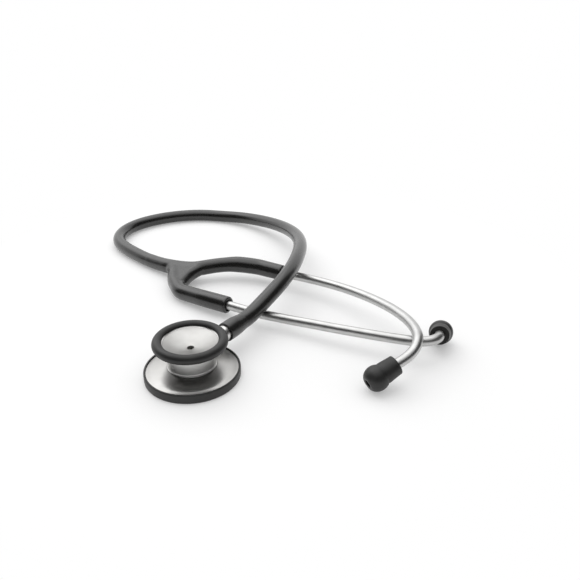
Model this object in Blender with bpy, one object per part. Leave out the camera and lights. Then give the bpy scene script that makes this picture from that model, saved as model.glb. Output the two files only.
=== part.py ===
"""Dual-head stethoscope as it lies on a table, one closed solid for each piece.

The origin is the centre of the diaphragm's working face, +Z is up and the headset lies towards +X.
Every size in this file is in millimetres; meshes are written in metres.
"""

import math

import bmesh
import bpy
import numpy as np
from mathutils import Matrix, Vector

MM = 0.001
MERGE = 1e-6
FIT = 0.3

# Diaphragm side, from the rubber ring inwards and from the table up
RING_OD = 47.5
RING_WALL = 0.95
RING_LIP = 0.8
RING_LIP_REACH = 1.2
RING_TOP_LIP = 0.4
RING_TOP_REACH = 0.5
DIAPHRAGM_SHEET = 0.5
DIAPHRAGM_STEP = 0.5
DISH_RIM = 2.2
DISH_RISE = 3.7
DISH_SHELL = 2.2
SPIGOT_RADIUS = 8.0
SPIGOT_DEPTH = 1.6

# Drum and bell side
DRUM_RADIUS = 11.7
FOOT_OVERHANG = 0.6
FOOT_HEIGHT = 0.5
STEM_RISE = 3.9
SOUND_HOLE = 3.2
BELL_FLOOR = 1.05
BELL_DEPTH = 3.4
BELL_WALL = 1.2
BELL_LIP = 1.0
BELL_LIP_REACH = 2.2
BELL_RING_SECTION = 5.1
BELL_RING_MEAN_RADIUS = 16.0

# Stem, measured along its axis from the drum's centre
STEM_HEADING = 55.0
STEM_SHANK = 5.4
STEM_PASSAGE = 2.8
STEM_TAIL = 7.0
STEM_PORT = 2.6
STEM_SHOULDER = 7.4
STEM_SHOULDER_WIDTH = 1.8
STEM_NECK = 6.6
STEM_FLANGE = 8.4
STEM_FLANGE_AT = 22.2
STEM_FLANGE_WIDTH = 1.7
BARB_ROOT = 6.4
BARB_CREST = 7.4
BARB_PITCH = 3.6
BARB_COUNT = 3
O_RING_SECTION = 0.8
O_RING_AT = 8.0

# Click detent, on a radial hole behind the drum's centre
DETENT_AT = -5.0
DETENT_GROOVE = 0.7
DETENT_BALL = 2.4
DETENT_TRAVEL = 0.3
DETENT_HOLE = 3.0
DETENT_WIRE = 0.5
DETENT_COIL = 1.9
DETENT_SPRING_LENGTH = 2.9
DETENT_TURNS = 5
DETENT_SCREW_LENGTH = 2.1

# Tube, cuff, yoke and arms
TUBE_OD = 8.8
TUBE_BORE = 3.6
TUBE_LIFT = 0.2
CUFF_OD = 10.3
CUFF_LENGTH = 15.0
CUFF_TAPER = 5.0
CUFF_LEAD = 4.0
CUFF_CLIMB = 0.04
BRANCH_OD = 9.6
ARM_OD = 9.4
CUP_SETBACK = 3.0
WEB_THICKNESS = 8.0
LEAF_THICKNESS = 0.8
LEAF_HEIGHT = 3.4
LEAF_COVER = 1.2

# Ear tubes and tips
EAR_TUBE_OD = 5.3
EAR_TUBE_WALL = 0.75
SLEEVE_GRIP = 15.0
SLEEVE_MOUTH = 7.2
SLEEVE_MOUTH_DEPTH = 1.2
CROSSING_GAP = 0.6
FERRULE_WALL = 0.6
FERRULE_LENGTH = 7.0
TIP_COLLAR = 9.2
TIP_BALL = 12.8
TIP_LENGTH = 17.6
TIP_BALL_AT = 12.2
TIP_MOUTH = 6.4
TIP_HOLE = 2.6

# Facets round a turned piece
FINE = 36
MEDIUM = 20
COARSE = 12

# Yoke plane: the inlet's place and the plane's slopes along X and Y
YOKE_INLET = (-43.0, 124.0, 4.9)
YOKE_SLOPE = (0.153, 0.07)
TRUNK_ROUTE = [(-43.0, 124.0), (-37.8, 119.7), (-33.0, 116.0), (-28.2, 112.9), (-23.4, 110.2), (-18.4, 107.9)]
RIGHT_BRANCH_ROUTE = [(-29.0, 112.8), (-26.2, 106.0), (-25.0, 99.0), (-23.8, 92.5)]
LEFT_HINGE = (-13.0, 106.3)
RIGHT_HINGE = (-21.5, 86.5)
WEB_OUTLINE = [(-30.0, 113.5), (-23.4, 110.0), (-18.6, 107.4), (-16.4, 101.2), (-17.0, 96.5), (-18.6, 92.4),
               (-22.0, 90.6), (-25.0, 99.0), (-27.4, 108.0)]
LEAF_ROUTE = [(-18.6, 102.8), (-18.8, 99.6), (-19.6, 96.4), (-20.8, 93.6)]

# Arm routes run from the hinge to the sleeve, which is straight up to its mouth
LEFT_ARM_ROUTE = [(-4.0, 107.7, 9.1), (4.5, 109.1, 9.7), (12.5, 109.5, 9.9), (22.6, 107.7, 9.7)]
LEFT_MOUTH = (43.6, 97.4, 9.4)
LEFT_SLEEVE_AXIS = (0.866, -0.5, 0.0)
RIGHT_ARM_ROUTE = [(-18.4, 80.3, 5.4), (-13.6, 76.4, 5.6), (-8.0, 72.3, 6.1)]
RIGHT_MOUTH = (12.6, 59.3, 7.0)
RIGHT_SLEEVE_AXIS = (0.86, -0.51, 0.02)

# Ear tube routes run from the sleeve's mouth to the tip's collar, then straight on into the tip
LEFT_EAR_ROUTE = [(54.0, 91.4, 9.7), (63.3, 85.5, 10.2), (72.1, 78.8, 10.9), (80.6, 71.0, 11.8),
                  (88.6, 61.8, 13.0), (96.0, 51.5, 14.3), (102.5, 40.5, 15.6), (107.6, 29.0, 16.7),
                  (110.8, 17.2, 17.3), (111.0, 6.8, 16.6), (107.6, -0.8, 14.6), (102.6, -5.2, 12.6)]
RIGHT_EAR_ROUTE = [(27.5, 50.6, 7.2), (39.9, 44.9, 7.4), (48.2, 41.1, 7.7), (59.1, 36.2, 8.2),
                   (69.6, 31.2, 8.8), (79.8, 26.5, 9.4), (89.7, 22.0, 10.0), (99.4, 17.8, 10.6),
                   (107.0, 14.9, 11.0), (114.0, 12.8, 11.5), (119.6, 12.9, 12.0), (123.2, 15.2, 12.1)]
LEFT_TIP = (98.5, -7.5, 11.1)
LEFT_TIP_AXIS = (-0.82, -0.43, -0.35)
RIGHT_TIP = (125.1, 19.4, 11.0)
RIGHT_TIP_AXIS = (0.29, 0.88, -0.36)

# Main tube route, from the cuff over the ear tubes and round the table to the yoke
TUBE_ROUTE = [(30.4, 43.9, 13.8), (35.3, 50.9, 16.2), (40.8, 59.6, 18.6), (45.8, 70.6, 20.2), (49.8, 83.5, 20.8),
              (52.5, 97.0, 20.6), (54.2, 110.5, 19.8), (54.5, 127.3, 18.2), (51.8, 145.5, 16.0),
              (45.5, 163.5, 13.4), (36.0, 180.5, 10.6), (24.0, 195.0, 8.0), (10.0, 206.2, 6.0)]
TUBE_TABLE_ROUTE = [(-6.0, 213.4), (-22.0, 216.0), (-38.0, 214.4), (-52.6, 208.8), (-65.2, 199.8),
                    (-74.3, 187.6), (-77.8, 173.2), (-74.8, 158.8), (-67.0, 147.2), (-57.4, 137.1)]

# What the sizes above give
RING_RADIUS = RING_OD / 2
GROOVE_RADIUS = RING_RADIUS - RING_WALL
RIM_RADIUS = GROOVE_RADIUS - FIT
LIP_RADIUS = GROOVE_RADIUS - RING_LIP_REACH
FACE_RADIUS = LIP_RADIUS - FIT - DIAPHRAGM_STEP
FLANGE_Z = RING_LIP + FIT
RIM_Z = FLANGE_Z + DIAPHRAGM_SHEET + FIT
RIM_TOP = RIM_Z + DISH_RIM
SEAT_Z = RIM_TOP + DISH_RISE
DRUM_Z = SEAT_Z + FIT
STEM_Z = DRUM_Z + STEM_RISE
SHANK_RADIUS = STEM_SHANK / 2
STEM_BORE = SHANK_RADIUS + FIT
CUP_FLOOR_Z = STEM_Z + STEM_BORE + BELL_FLOOR
BELL_RING_Z = CUP_FLOOR_Z + BELL_DEPTH
BELL_RING_RADIUS = BELL_RING_SECTION / 2
BELL_WALL_RADIUS = BELL_RING_MEAN_RADIUS - BELL_RING_RADIUS - FIT
BELL_LIP_RADIUS = BELL_WALL_RADIUS + BELL_LIP_REACH
TUBE_RADIUS = TUBE_OD / 2
ARM_RADIUS = ARM_OD / 2
EAR_RADIUS = EAR_TUBE_OD / 2
SLEEVE_BORE = EAR_RADIUS + FIT
FERRULE_BORE = EAR_RADIUS + FIT
FERRULE_RADIUS = FERRULE_BORE + FERRULE_WALL
CUFF_AT = STEM_FLANGE_AT + STEM_FLANGE_WIDTH + FIT
CUFF_END = CUFF_AT + CUFF_LENGTH
HOLE_RADIUS = SOUND_HOLE / 2
STEM_AXIS = Vector((math.cos(math.radians(STEM_HEADING)), math.sin(math.radians(STEM_HEADING)), 0.0))
DETENT_AXIS = Vector((-STEM_AXIS.y, STEM_AXIS.x, 0.0))


def clear_scene():
    for item in list(bpy.data.objects):
        bpy.data.objects.remove(item)


def finish(name, colour, roughness, metallic):
    material = bpy.data.materials.new(name)
    material.use_nodes = True
    shader = material.node_tree.nodes["Principled BSDF"]
    shader.inputs["Base Color"].default_value = (*colour, 1.0)
    shader.inputs["Roughness"].default_value = roughness
    shader.inputs["Metallic"].default_value = metallic
    return material


def solid(name, shape, material):
    """A named object from a closed shape, shaded smooth with its edges kept sharp."""
    mesh = bpy.data.meshes.new(name)
    shape.to_mesh(mesh)
    shape.free()
    mesh.shade_smooth()
    mesh.set_sharp_from_angle(angle=math.radians(35))
    mesh.materials.append(material)
    part = bpy.data.objects.new(name, mesh)
    bpy.context.scene.collection.objects.link(part)
    return part


def cutter(name, shape):
    """A construction solid that shapes its neighbours and isn't a piece itself."""
    mesh = bpy.data.meshes.new(name)
    shape.to_mesh(mesh)
    shape.free()
    tool = bpy.data.objects.new(name, mesh)
    tool.hide_render = True
    tool.display_type = "WIRE"
    bpy.context.scene.collection.objects.link(tool)
    return tool


def combine(part, tool, operation):
    change = part.modifiers.new(tool.name, "BOOLEAN")
    change.operation = operation
    change.solver = "EXACT"
    change.object = tool


def pivot(name, place, parent=None):
    """An empty on a joint's axis, for the pieces that move about it."""
    empty = bpy.data.objects.new(name, None)
    empty.location = Vector(place) * MM
    if parent:
        empty.parent = parent
        empty.location -= parent.location
    bpy.context.scene.collection.objects.link(empty)
    return empty


def hang(part, empty, place):
    """Give a piece its origin on a joint's axis and let the empty carry it."""
    part.data.transform(Matrix.Translation(-Vector(place) * MM))
    part.parent = empty


def axis_place(origin, direction):
    """The matrix that puts local Z on a direction through a point in mm."""
    turn = Vector(direction).to_track_quat("Z", "Y").to_matrix().to_4x4()
    return Matrix.Translation(Vector(origin) * MM) @ turn


def turned(profile, place=Matrix(), steps=FINE):
    """A body of revolution about local Z from an outline of (radius, height) points."""
    shape = bmesh.new()
    corners = [shape.verts.new((radius * MM, 0.0, height * MM)) for radius, height in profile]
    sides = []
    for first, second in zip(corners, corners[1:] + corners[:1]):
        if first.co.x > 0.0 or second.co.x > 0.0:
            sides.append(shape.edges.new((first, second)))
    bmesh.ops.spin(shape, geom=corners + sides, axis=(0, 0, 1), cent=(0, 0, 0), angle=math.tau, steps=steps,
                   use_merge=True)
    bmesh.ops.remove_doubles(shape, verts=shape.verts, dist=MERGE)
    bmesh.ops.recalc_face_normals(shape, faces=shape.faces)
    bmesh.ops.transform(shape, matrix=place, verts=shape.verts)
    return shape


def drill(radius, start, end, place, steps=MEDIUM):
    """A plain round cutter along local Z."""
    return turned([(0.0, start), (radius, start), (radius, end), (0.0, end)], place, steps)


def arc(centre, radius, start, end, count):
    """Outline points on an arc about (radius, height), with angles in degrees."""
    points = []
    for index in range(count):
        angle = math.radians(start + (end - start) * index / (count - 1))
        points.append((centre[0] + radius * math.cos(angle), centre[1] + radius * math.sin(angle)))
    return points


def spline(points, per_span=24):
    """Fine points on a natural cubic spline through the given points."""
    knots = np.array(points, dtype=float)
    chords = np.linalg.norm(np.diff(knots, axis=0), axis=1)
    count = len(knots)
    system = np.eye(count)
    pull = np.zeros_like(knots)
    for i in range(1, count - 1):
        system[i, i - 1:i + 2] = chords[i - 1], 2 * (chords[i - 1] + chords[i]), chords[i]
        pull[i] = 6 * ((knots[i + 1] - knots[i]) / chords[i] - (knots[i] - knots[i - 1]) / chords[i - 1])
    bend = np.linalg.solve(system, pull)
    fine = []
    for i, chord in enumerate(chords):
        for step in np.linspace(0.0, 1.0, per_span, endpoint=False):
            rest = 1.0 - step
            curve = ((step ** 3 - step) * bend[i + 1] + (rest ** 3 - rest) * bend[i]) * chord ** 2 / 6
            fine.append(rest * knots[i] + step * knots[i + 1] + curve)
    fine.append(knots[-1])
    return np.array(fine)


class Route:
    """A smooth centreline with a frame that travels along it without twisting."""

    def __init__(self, points):
        self.points = spline(points)
        steps = np.diff(self.points, axis=0)
        spans = np.linalg.norm(steps, axis=1)
        self.distance = np.concatenate(([0.0], np.cumsum(spans)))
        self.length = self.distance[-1]
        tangents = np.gradient(self.points, axis=0)
        self.tangents = tangents / np.linalg.norm(tangents, axis=1)[:, None]
        side = np.cross(self.tangents[0], (0.0, 0.0, 1.0))
        sides = []
        for tangent in self.tangents:
            side = side - tangent * np.dot(side, tangent)
            side = side / np.linalg.norm(side)
            sides.append(side)
        self.sides = np.array(sides)

    def sample(self, table, distance):
        return np.array([np.interp(distance, self.distance, table[:, axis]) for axis in range(3)])

    def frame(self, distance):
        """Centre, tangent, side and up at a distance, running on straight past either end."""
        inside = min(max(distance, 0.0), self.length)
        tangent = self.sample(self.tangents, inside)
        tangent = tangent / np.linalg.norm(tangent)
        side = self.sample(self.sides, inside)
        side = side - tangent * np.dot(side, tangent)
        side = side / np.linalg.norm(side)
        centre = self.sample(self.points, inside) + tangent * (distance - inside)
        return centre, tangent, side, np.cross(side, tangent)


def stations(outline, spacing):
    """Fill in an outline of (distance, radius) points so that no span is longer than the spacing."""
    filled = [outline[0]]
    for (start, first), (end, second) in zip(outline, outline[1:]):
        count = max(1, math.ceil(abs(end - start) / spacing))
        for step in range(1, count + 1):
            share = step / count
            filled.append((start + (end - start) * share, first + (second - first) * share))
    return filled


def swept(route, outer, inner=None, sides=COARSE):
    """A closed round skin along a route, with a bore right through when inner stations are given."""
    shape = bmesh.new()
    loops = []
    for distance, radius in outer + list(reversed(inner or [])):
        centre, _, side, up = route.frame(distance)
        ring = []
        for index in range(sides):
            angle = math.tau * index / sides
            ring.append(shape.verts.new((centre + radius * (math.cos(angle) * side + math.sin(angle) * up)) * MM))
        loops.append(ring)
    pairs = list(zip(loops, loops[1:]))
    if inner:
        pairs.append((loops[-1], loops[0]))
    else:
        shape.faces.new(loops[0])
        shape.faces.new(loops[-1])
    for first, second in pairs:
        for index in range(sides):
            after = (index + 1) % sides
            shape.faces.new((first[index], first[after], second[after], second[index]))
    bmesh.ops.recalc_face_normals(shape, faces=shape.faces)
    return shape


def ball(radius, place, rings=8, steps=COARSE):
    return turned(arc((0.0, 0.0), radius, -90.0, 90.0, rings + 1), place, steps)


def yoke_point(x, y):
    """A point of the yoke's own plane."""
    rise = YOKE_SLOPE[0] * (x - YOKE_INLET[0]) + YOKE_SLOPE[1] * (y - YOKE_INLET[1])
    return np.array((x, y, YOKE_INLET[2] + rise))


def yoke_normal():
    normal = np.array((-YOKE_SLOPE[0], -YOKE_SLOPE[1], 1.0))
    return normal / np.linalg.norm(normal)


def make_diaphragm(material):
    top = FLANGE_Z + DIAPHRAGM_SHEET
    inner_step = FACE_RADIUS - DIAPHRAGM_SHEET
    profile = [(0.0, 0.0), (FACE_RADIUS, 0.0), (FACE_RADIUS + DIAPHRAGM_STEP, FLANGE_Z), (RIM_RADIUS, FLANGE_Z),
               (RIM_RADIUS, top), (inner_step + DIAPHRAGM_STEP, top), (inner_step, DIAPHRAGM_SHEET),
               (0.0, DIAPHRAGM_SHEET)]
    return solid("diaphragm", turned(profile), material)


def make_diaphragm_ring(material):
    groove_top = RIM_TOP + FIT
    top = groove_top + RING_TOP_LIP
    edge = RING_WALL / 2
    profile = [(LIP_RADIUS, 0.0), (RING_RADIUS - 1.4 * edge, 0.0), (RING_RADIUS - edge / 3, edge / 2),
               (RING_RADIUS, 2 * edge), (RING_RADIUS, top - 2.2 * edge), (RING_RADIUS - edge / 2, top - 0.6 * edge),
               (RING_RADIUS - 1.4 * edge, top), (GROOVE_RADIUS - RING_TOP_REACH, top),
               (GROOVE_RADIUS - RING_TOP_REACH, groove_top), (GROOVE_RADIUS, groove_top), (GROOVE_RADIUS, RING_LIP),
               (LIP_RADIUS, RING_LIP)]
    return solid("diaphragm_ring", turned(profile), material)


def make_dish(material):
    shelf = RIM_RADIUS - RING_TOP_REACH - FIT
    shoulder = DRUM_RADIUS + FOOT_OVERHANG + FIT
    socket = SPIGOT_RADIUS + FIT
    socket_floor = SEAT_Z - SPIGOT_DEPTH
    skirt = RIM_RADIUS - DISH_SHELL
    profile = [(skirt, RIM_Z), (RIM_RADIUS, RIM_Z), (RIM_RADIUS, RIM_TOP), (shelf, RIM_TOP)]
    for share in (0.3, 0.6, 0.85):
        radius = shelf + (shoulder - shelf) * share
        profile.append((radius, RIM_TOP + DISH_RISE * share ** 1.15))
    profile += [(shoulder, SEAT_Z), (socket, SEAT_Z), (socket, socket_floor), (HOLE_RADIUS, socket_floor),
                (HOLE_RADIUS, socket_floor - DISH_SHELL / 2), (socket, socket_floor - DISH_SHELL * 0.8)]
    return solid("diaphragm_dish", turned(profile), material)


def stem_place(distance=0.0):
    """The stem's axis as local Z, from a distance along it."""
    return axis_place(Vector((0.0, 0.0, STEM_Z)) + STEM_AXIS * distance, STEM_AXIS)


def detent_place():
    return axis_place(Vector((0.0, 0.0, STEM_Z)) + STEM_AXIS * DETENT_AT, DETENT_AXIS)


def make_bell_body(material):
    foot = DRUM_RADIUS + FOOT_OVERHANG
    foot_top = DRUM_Z + FOOT_HEIGHT
    lip_low = BELL_RING_Z - BELL_LIP / 2
    lip_top = BELL_RING_Z + BELL_LIP / 2
    flare = BELL_WALL_RADIUS - DRUM_RADIUS
    flare_z = CUP_FLOOR_Z - BELL_FLOOR
    mouth = BELL_WALL_RADIUS - BELL_WALL / 4
    profile = [(SPIGOT_RADIUS, SEAT_Z - SPIGOT_DEPTH + FIT), (SPIGOT_RADIUS, DRUM_Z), (foot, DRUM_Z),
               (foot, foot_top), (DRUM_RADIUS, foot_top + FOOT_OVERHANG / 3), (DRUM_RADIUS, flare_z)]
    for share in (0.35, 0.75):
        profile.append((DRUM_RADIUS + flare * share, flare_z + (lip_low - flare_z) * share ** 1.5))
    profile += [(BELL_WALL_RADIUS, lip_low), (BELL_LIP_RADIUS, lip_low), (BELL_LIP_RADIUS, lip_top),
                (mouth, lip_top)]
    for share in (0.92, 0.75, 0.5, 0.25):
        profile.append((mouth * share, CUP_FLOOR_Z + BELL_DEPTH * share ** 3))
    profile += [(HOLE_RADIUS, CUP_FLOOR_Z), (HOLE_RADIUS, SEAT_Z - SPIGOT_DEPTH + FIT)]
    body = solid("bell_body", turned(profile), material)
    past_drum = DRUM_RADIUS + STEM_FLANGE
    combine(body, cutter("stem_bore", drill(STEM_BORE, -STEM_TAIL - 1.0, past_drum, stem_place())), "DIFFERENCE")
    detent = drill(DETENT_HOLE / 2, 0.0, past_drum, detent_place(), COARSE)
    combine(body, cutter("detent_hole", detent), "DIFFERENCE")
    return body


def make_bell_ring(material):
    slot = BELL_LIP / 2 + FIT
    gap = math.degrees(math.asin(slot / BELL_RING_RADIUS))
    centre = (BELL_RING_MEAN_RADIUS, BELL_RING_Z)
    slot_radius = BELL_LIP_RADIUS + FIT
    profile = arc(centre, BELL_RING_RADIUS, gap - 180.0, 180.0 - gap, 14)
    profile += [(slot_radius, BELL_RING_Z + slot), (slot_radius, BELL_RING_Z - slot)]
    return solid("bell_ring", turned(profile), material)


def make_stem(material):
    bevel = FIT
    passage = STEM_PASSAGE / 2
    groove = SHANK_RADIUS - DETENT_GROOVE
    groove_half = DETENT_BALL / 2
    seal = SHANK_RADIUS - O_RING_SECTION + FIT / 2
    seal_half = O_RING_SECTION / 2 + FIT
    shoulder_at = DRUM_RADIUS + FOOT_OVERHANG + FIT
    shoulder_end = shoulder_at + STEM_SHOULDER_WIDTH
    flange_end = STEM_FLANGE_AT + STEM_FLANGE_WIDTH
    profile = [(0.0, -STEM_TAIL), (SHANK_RADIUS - bevel, -STEM_TAIL), (SHANK_RADIUS, -STEM_TAIL + bevel),
               (SHANK_RADIUS, DETENT_AT - groove_half), (groove, DETENT_AT), (SHANK_RADIUS, DETENT_AT + groove_half),
               (SHANK_RADIUS, O_RING_AT - seal_half), (seal, O_RING_AT - seal_half), (seal, O_RING_AT + seal_half),
               (SHANK_RADIUS, O_RING_AT + seal_half), (SHANK_RADIUS, shoulder_at), (STEM_SHOULDER / 2, shoulder_at),
               (STEM_SHOULDER / 2, shoulder_end), (STEM_NECK / 2, shoulder_end + bevel),
               (STEM_NECK / 2, STEM_FLANGE_AT - bevel), (STEM_FLANGE / 2, STEM_FLANGE_AT),
               (STEM_FLANGE / 2, flange_end)]
    at = flange_end
    for _ in range(BARB_COUNT):
        profile += [(BARB_ROOT / 2, at), (BARB_ROOT / 2, at + BARB_PITCH * 0.3),
                    (BARB_CREST / 2, at + BARB_PITCH * 0.4)]
        at += BARB_PITCH
    profile += [(BARB_ROOT / 2, at), (BARB_ROOT / 2 - bevel, at + bevel), (passage, at + bevel), (passage, -passage),
                (0.0, -passage)]
    stem = solid("stem", turned(profile, stem_place(), MEDIUM), material)
    port = drill(STEM_PORT / 2, 0.0, STEM_BORE + FIT, axis_place((0.0, 0.0, STEM_Z), (0.0, 0.0, 1.0)), COARSE)
    combine(stem, cutter("stem_port", port), "DIFFERENCE")
    return stem


def make_o_ring(material):
    radius = O_RING_SECTION / 2
    centre = (STEM_BORE - FIT / 2 - radius, O_RING_AT)
    return solid("stem_o_ring", turned(arc(centre, radius, 0.0, 315.0, 8), stem_place(), MEDIUM), material)


def detent_rest():
    """How far the ball's centre stands from the stem's axis at rest."""
    return SHANK_RADIUS - DETENT_GROOVE + FIT + DETENT_BALL / 2


def make_detent(steel):
    """The ball, its spring and the set screw, in line on the detent's axis."""
    rest = detent_rest()
    place = detent_place()
    centre = place @ Matrix.Translation((0.0, 0.0, rest * MM))
    bead = solid("detent_ball", ball(DETENT_BALL / 2, centre), steel)
    spring_at = rest + DETENT_BALL / 2 + DETENT_TRAVEL + FIT / 6 + DETENT_WIRE / 2
    points = []
    per_turn = 10
    for index in range(DETENT_TURNS * per_turn + 1):
        angle = math.tau * index / per_turn
        rise = spring_at + DETENT_SPRING_LENGTH * index / (DETENT_TURNS * per_turn)
        coil = Vector((DETENT_COIL / 2 * math.cos(angle), DETENT_COIL / 2 * math.sin(angle), rise)) * MM
        points.append(np.array(place @ coil) / MM)
    coil_route = Route(points)
    wire = stations([(0.0, DETENT_WIRE / 2), (coil_route.length, DETENT_WIRE / 2)], DETENT_COIL / 3)
    spring = solid("detent_spring", swept(coil_route, wire, sides=6), steel)
    screw_at = spring_at + DETENT_SPRING_LENGTH + DETENT_WIRE / 2 + FIT
    radius = DETENT_HOLE / 2 - FIT / 2
    slot = radius / 2
    profile = [(0.0, 0.0), (radius, 0.0), (radius, DETENT_SCREW_LENGTH), (slot, DETENT_SCREW_LENGTH),
               (slot, DETENT_SCREW_LENGTH / 2), (0.0, DETENT_SCREW_LENGTH / 2)]
    screw_place = place @ Matrix.Translation((0.0, 0.0, screw_at * MM))
    screw = solid("detent_screw", turned(profile, screw_place, COARSE), steel)
    return bead, spring, screw


def make_cuff(material):
    grip = BARB_CREST / 2 + FIT
    bore = TUBE_BORE / 2
    outer = CUFF_OD / 2
    taper_at = CUFF_END - CUFF_TAPER
    stem_end = STEM_FLANGE_AT + STEM_FLANGE_WIDTH + BARB_COUNT * BARB_PITCH + FIT
    profile = [(grip, CUFF_AT), (outer - FIT, CUFF_AT), (outer, CUFF_AT + FIT), (outer, taper_at),
               ((outer + TUBE_RADIUS) / 2, taper_at + CUFF_TAPER * 0.6), (TUBE_RADIUS, CUFF_END), (bore, CUFF_END),
               (bore, stem_end + FIT), (grip - FIT, stem_end + FIT), (grip, stem_end - BARB_PITCH)]
    return solid("tube_cuff", turned(profile, stem_place(), MEDIUM), material)


def tube_route():
    """The free tube's centreline, from the cuff's end face to the yoke's inlet."""
    exit_point = np.array(Vector((0.0, 0.0, STEM_Z)) + STEM_AXIS * (CUFF_END + FIT))
    lead = np.array(STEM_AXIS + Vector((0.0, 0.0, CUFF_CLIMB))) * CUFF_LEAD
    resting = TUBE_RADIUS + TUBE_LIFT
    table = [(x, y, resting) for x, y in TUBE_TABLE_ROUTE]
    trunk = Route([yoke_point(x, y) for x, y in TRUNK_ROUTE])
    inlet, tangent, _, _ = trunk.frame(-FIT)
    return Route([exit_point, exit_point + lead, *TUBE_ROUTE, *table, inlet - tangent * TUBE_OD, inlet])


def make_main_tube(material):
    route = tube_route()
    count = math.ceil(route.length / (2 * TUBE_OD))
    middle = np.linspace(CUFF_LEAD + TUBE_OD, route.length - CUFF_LEAD - TUBE_OD, count)
    distances = [0.0, CUFF_LEAD, *middle, route.length - CUFF_LEAD, route.length]
    curve = bpy.data.curves.new("main_tube", "CURVE")
    curve.dimensions = "3D"
    curve.bevel_depth = TUBE_RADIUS * MM
    curve.bevel_resolution = 3
    curve.use_fill_caps = True
    line = curve.splines.new("POLY")
    line.points.add(len(distances) - 1)
    for point, distance in zip(line.points, distances):
        point.co = (*(route.frame(distance)[0] * MM), 1.0)
    curve.materials.append(material)
    tube = bpy.data.objects.new("main_tube", curve)
    bpy.context.scene.collection.objects.link(tube)
    return tube


def hinge_points():
    return {"left": yoke_point(*LEFT_HINGE), "right": yoke_point(*RIGHT_HINGE)}


def web_shape():
    normal = yoke_normal()
    shape = bmesh.new()
    low = [yoke_point(x, y) - normal * WEB_THICKNESS / 2 for x, y in WEB_OUTLINE]
    face = shape.faces.new([shape.verts.new(point * MM) for point in low])
    pushed = bmesh.ops.extrude_face_region(shape, geom=[face])
    raised = [item for item in pushed["geom"] if isinstance(item, bmesh.types.BMVert)]
    bmesh.ops.translate(shape, verts=raised, vec=Vector(normal * WEB_THICKNESS * MM))
    bmesh.ops.recalc_face_normals(shape, faces=shape.faces)
    return shape


def leaf_shape(side_room, end_room, low, high):
    """The leaf spring's strip on its route, standing across the yoke's plane between two heights."""
    normal = yoke_normal()
    route = Route([yoke_point(x, y) for x, y in LEAF_ROUTE])
    half = LEAF_THICKNESS / 2 + side_room
    shape = bmesh.new()
    loops = []
    count = 8
    for index in range(count + 1):
        distance = -end_room + (route.length + 2 * end_room) * index / count
        centre, tangent, _, _ = route.frame(distance)
        across = np.cross(normal, tangent)
        corners = [(-half, low), (half, low), (half, high), (-half, high)]
        loops.append([shape.verts.new((centre + a * across + b * normal) * MM) for a, b in corners])
    shape.faces.new(loops[0])
    shape.faces.new(loops[-1])
    for first, second in zip(loops, loops[1:]):
        for index in range(4):
            after = (index + 1) % 4
            shape.faces.new((first[index], first[after], second[after], second[index]))
    bmesh.ops.recalc_face_normals(shape, faces=shape.faces)
    return shape


def make_yoke(rubber, steel):
    hinges = hinge_points()
    trunk = Route([*[yoke_point(x, y) for x, y in TRUNK_ROUTE], hinges["left"]])
    branch = Route([*[yoke_point(x, y) for x, y in RIGHT_BRANCH_ROUTE], hinges["right"]])
    radius = BRANCH_OD / 2
    trunk_end = trunk.length - CUP_SETBACK
    branch_end = branch.length - CUP_SETBACK
    spacing = TUBE_RADIUS
    trunk_skin = stations([(0.0, TUBE_RADIUS), (2 * TUBE_RADIUS, TUBE_RADIUS), (3 * TUBE_RADIUS, radius),
                           (trunk_end, radius)], spacing)
    yoke = solid("yoke", swept(trunk, trunk_skin, sides=14), rubber)
    branch_skin = stations([(0.0, radius - FIT), (branch_end, radius - FIT / 6)], spacing)
    combine(yoke, cutter("yoke_branch", swept(branch, branch_skin, sides=14)), "UNION")
    combine(yoke, cutter("yoke_web", web_shape()), "UNION")
    bore = TUBE_BORE / 2
    for name, route in (("trunk_bore", trunk), ("branch_bore", branch)):
        start = -FIT if route is trunk else TUBE_RADIUS
        hole = stations([(start, bore), (route.length, bore)], spacing)
        combine(yoke, cutter(name, swept(route, hole, sides=8)), "DIFFERENCE")
    for side, centre in hinges.items():
        cup = ball(ARM_RADIUS + FIT, axis_place(centre, (0.0, 0.0, 1.0)), 12, MEDIUM)
        combine(yoke, cutter(side + "_cup", cup), "DIFFERENCE")
    leaf_top = WEB_THICKNESS / 2 - LEAF_COVER - FIT
    slot = leaf_shape(FIT, FIT, -WEB_THICKNESS, leaf_top + FIT)
    combine(yoke, cutter("leaf_slot", slot), "DIFFERENCE")
    leaf = solid("binaural_spring", leaf_shape(0.0, 0.0, leaf_top - LEAF_HEIGHT, leaf_top), steel)
    return yoke, leaf


def sleeve(side):
    """The middle of a sleeve's mouth and the sleeve's axis out of it."""
    mouth, axis = {"left": (LEFT_MOUTH, LEFT_SLEEVE_AXIS), "right": (RIGHT_MOUTH, RIGHT_SLEEVE_AXIS)}[side]
    return np.array(mouth), np.array(axis) / np.linalg.norm(axis)


def arm_route(side):
    points = {"left": LEFT_ARM_ROUTE, "right": RIGHT_ARM_ROUTE}[side]
    mouth, axis = sleeve(side)
    straight = [mouth - axis * SLEEVE_GRIP * share for share in (1.15, 0.9, 0.6, 0.3, 0.0)]
    return Route([hinge_points()[side], *points, *straight])


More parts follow.
